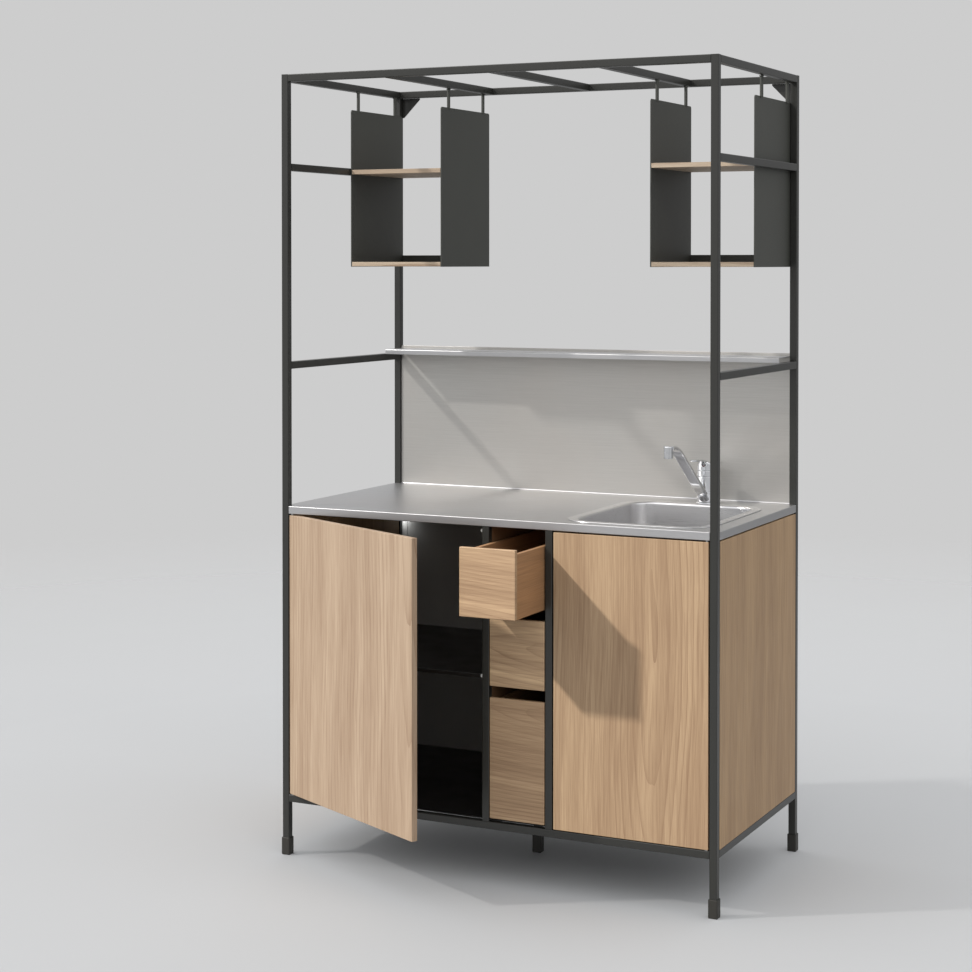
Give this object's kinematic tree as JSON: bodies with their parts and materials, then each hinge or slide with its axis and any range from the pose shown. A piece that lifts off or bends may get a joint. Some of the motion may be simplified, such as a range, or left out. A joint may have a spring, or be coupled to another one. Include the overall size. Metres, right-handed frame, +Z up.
{
  "type": "kitchenette unit",
  "caption": "Free-standing kitchenette: square-tube frame, steel worktop with inset sink and mixer tap, oak doors and drawers, hanging shelf units.",
  "frame": {"origin": "on the floor, under the middle of the square-tube frame", "axes": "+X to the right as a user faces the unit, +Y to the back, towards the wall, +Z up"},
  "size_m": [1.205, 0.8803, 2.04],
  "materials": {
    "frame_steel": "satin anthracite powder coat",
    "plate_steel": "matt black powder coat",
    "black_steel": "matt black powder coat",
    "oak": "matt lacquered light oak veneer",
    "stainless": "brushed stainless steel",
    "splash_steel": "brushed stainless steel",
    "grey_steel": "matt grey powder coat",
    "chrome": "polished chrome",
    "foot_plastic": "matt",
    "white_plastic": "satin white",
    "zinc_steel": "zinc plated"
  },
  "bodies": {
    "frame": {"post_front_left": "frame_steel", "post_front_right": "frame_steel", "post_back_left": "frame_steel", "post_back_right": "frame_steel", "top_frame": "frame_steel", "side_rail_lower_left": "frame_steel", "side_rail_lower_right": "frame_steel", "side_rail_upper_left": "frame_steel", "side_rail_upper_right": "frame_steel", "bottom_rail_left": "frame_steel", "bottom_rail_right": "frame_steel", "base_frame": "frame_steel", "divider_post_left": "frame_steel", "divider_post_right": "frame_steel", "foot_front_left": "foot_plastic", "foot_front_right": "foot_plastic", "foot_back_left": "foot_plastic", "foot_back_right": "foot_plastic", "foot_middle": "foot_plastic", "worktop": "stainless", "ledge": "stainless", "sink_bowl": "stainless", "sink_strainer": "stainless", "splashback": "splash_steel", "waste_trap": "white_plastic", "tap_body": "chrome", "side_panel_left": "oak", "side_panel_right": "oak", "partition_left": "oak", "partition_right": "oak", "hanging_shelf_lower_left": "oak", "hanging_shelf_middle_left": "oak", "hanging_shelf_lower_right": "oak", "hanging_shelf_middle_right": "oak", "back_panel": "grey_steel", "base_panel": "black_steel", "inner_shelf": "black_steel", "top_drawer_carrier": "black_steel", "middle_drawer_carrier": "black_steel", "bottom_drawer_guide": "black_steel", "door_pivot_lower_left": "zinc_steel", "door_pivot_upper_left": "zinc_steel", "door_pivot_lower_right": "zinc_steel", "door_pivot_upper_right": "zinc_steel", "hanging_plate_outer_left": "plate_steel", "hanging_plate_inner_left": "plate_steel", "hanging_plate_outer_right": "plate_steel", "hanging_plate_inner_right": "plate_steel"},
    "left_door": {"left_door": "oak"},
    "right_door": {"right_door": "oak"},
    "top_drawer": {"top_drawer_front": "oak", "top_drawer_box": "oak"},
    "middle_drawer": {"middle_drawer_front": "oak", "middle_drawer_box": "oak"},
    "bottom_drawer": {"bottom_drawer_front": "oak", "bottom_drawer_box": "oak"},
    "spout": {"tap_spout": "chrome"},
    "hub": {"tap_hub": "chrome"},
    "lever": {"tap_lever": "chrome"}
  },
  "joints": [
    {"name": "left_door_hinge", "type": "hinge", "parent": "frame", "child": "left_door", "pos_m": [-0.572, -0.309, 0.526], "axis": [0, 0, -1], "range_deg": [-26.8, 73.2]},
    {"name": "right_door_hinge", "type": "hinge", "parent": "frame", "child": "right_door", "pos_m": [0.572, -0.309, 0.526], "axis": [0, 0, 1], "range_deg": [0, 100]},
    {"name": "top_drawer_slide", "type": "slide", "parent": "frame", "child": "top_drawer", "axis": [0, -1, 0], "range_m": [-0.167, 0.163]},
    {"name": "middle_drawer_slide", "type": "slide", "parent": "frame", "child": "middle_drawer", "axis": [0, -1, 0], "range_m": [0, 0.33]},
    {"name": "bottom_drawer_slide", "type": "slide", "parent": "frame", "child": "bottom_drawer", "axis": [0, -1, 0], "range_m": [0, 0.33]},
    {"name": "tap_spout_swivel", "type": "hinge", "parent": "frame", "child": "spout", "pos_m": [0.3715, 0.233, 0.932], "axis": [0, 0, 1], "range_deg": [-60, 60]},
    {"name": "tap_hub_turn", "type": "hinge", "parent": "frame", "child": "hub", "pos_m": [0.3715, 0.233, 0.994], "axis": [0, 0, 1], "range_deg": [-45, 45]},
    {"name": "tap_lever_lift", "type": "hinge", "parent": "hub", "child": "lever", "pos_m": [0.3715, 0.256, 1.0026], "axis": [-1, 0, 0], "range_deg": [0, 20]}
  ]
}
